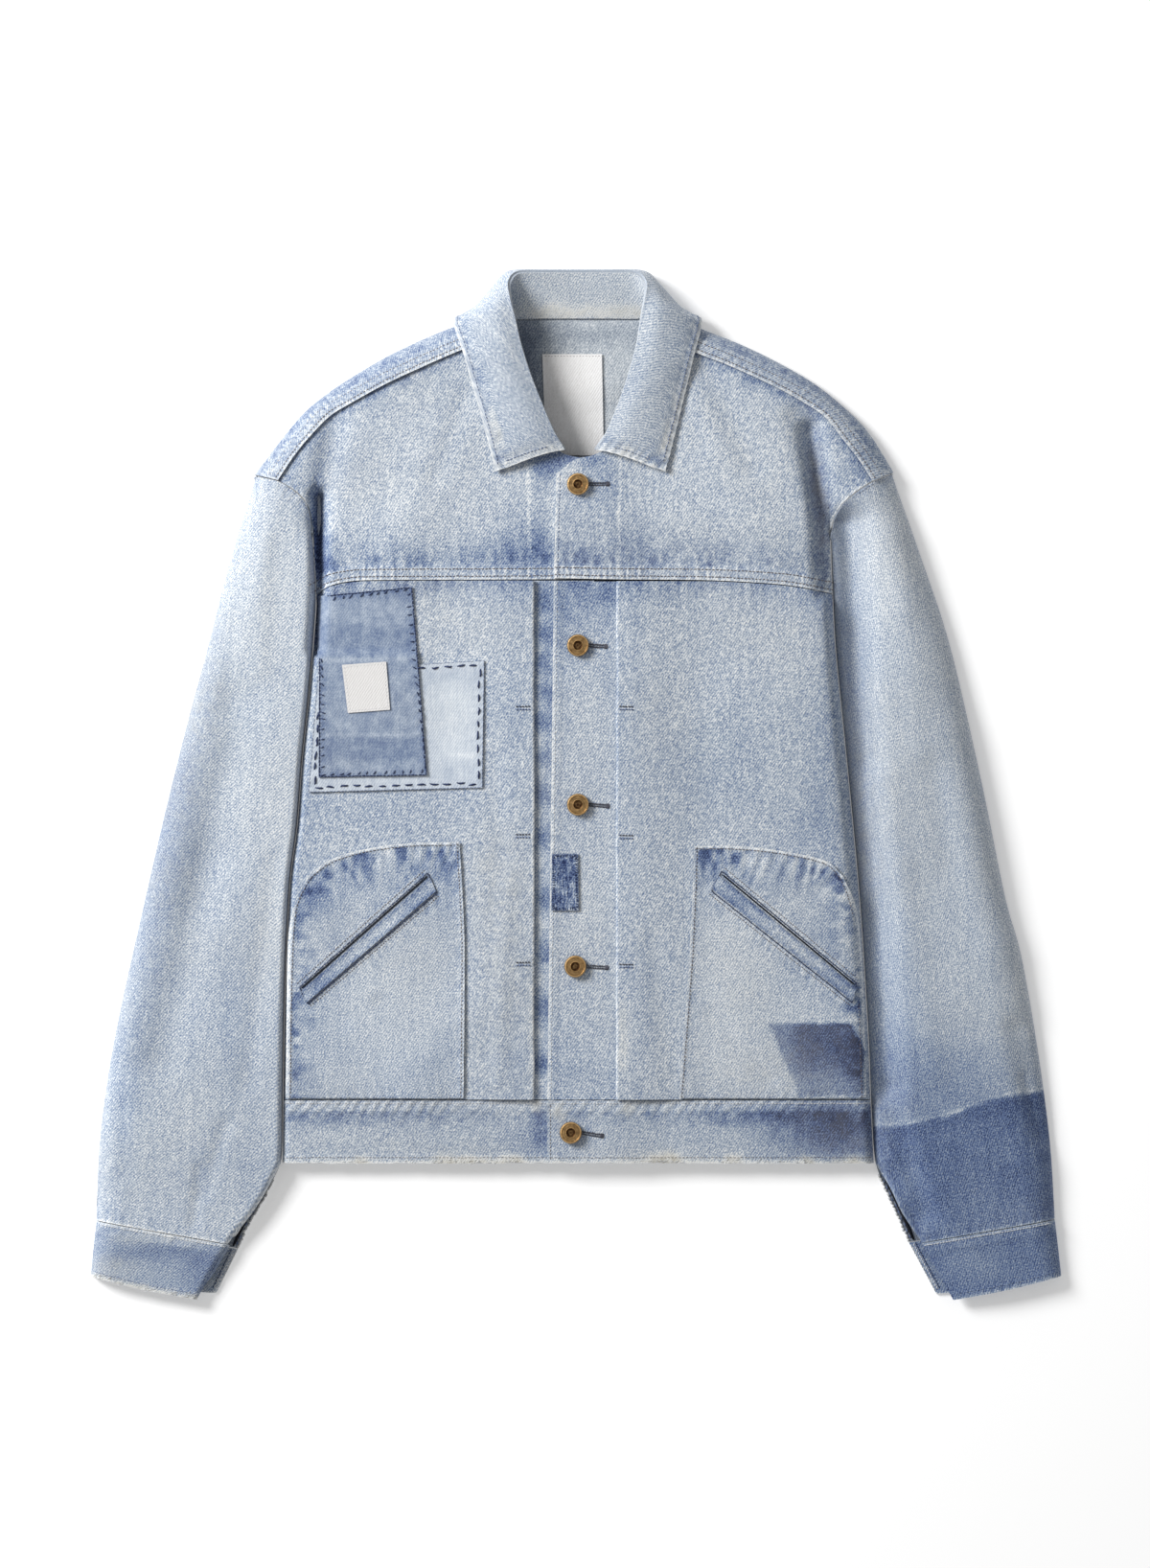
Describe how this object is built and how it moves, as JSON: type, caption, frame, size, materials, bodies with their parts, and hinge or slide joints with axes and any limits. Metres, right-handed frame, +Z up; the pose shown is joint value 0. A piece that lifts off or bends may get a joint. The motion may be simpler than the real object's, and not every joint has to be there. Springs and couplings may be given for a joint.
{
  "type": "denim work jacket",
  "caption": "Worn denim work jacket laid flat and buttoned, with boro patches, chest yokes, slanted patch pockets, a turned-down collar and cuffed sleeves.",
  "frame": {"origin": "middle of the laid jacket's outline, on the table it lies on", "axes": "+X to the wearer's left, +Y from the hem to the collar, +Z up from the table, out of the front of the jacket"},
  "size_m": [0.749, 0.7951, 0.0332],
  "materials": {
    "denim": "washed twill, faded and worn at the seams",
    "denim_inside": "grey weft side of the twill",
    "pale_patch": "pale plain cotton, hand stitched",
    "indigo_patch": "indigo cotton, hand stitched",
    "white_label": "off-white cotton tape, blank",
    "brass": "aged, dull"
  },
  "bodies": {
    "root": {"back_panel": "denim", "back_yoke": "denim_inside", "back_waistband": "denim", "shoulder_yoke_right": "denim", "shoulder_yoke_left": "denim", "front_yoke_right": "denim", "front_yoke_left": "denim", "front_panel_right": "denim", "front_panel_left": "denim", "button_band": "denim", "buttonhole_band": "denim", "waistband_right": "denim", "waistband_left": "denim", "sleeve_right": "denim", "sleeve_left": "denim", "under_sleeve_right": "denim", "under_sleeve_left": "denim", "cuff_right": "denim", "cuff_left": "denim", "cuff_under_right": "denim", "cuff_under_left": "denim", "collar_stand": "denim", "collar_fall": "denim", "pocket_right": "denim", "pocket_left": "denim", "pocket_welt_right": "denim", "pocket_welt_left": "denim", "patch_pale": "pale_patch", "patch_indigo": "indigo_patch", "darned_patch": "indigo_patch", "chest_label": "white_label", "neck_label": "white_label", "button_1": "brass", "button_2": "brass", "button_3": "brass", "button_4": "brass", "button_5": "brass"}
  },
  "joints": []
}
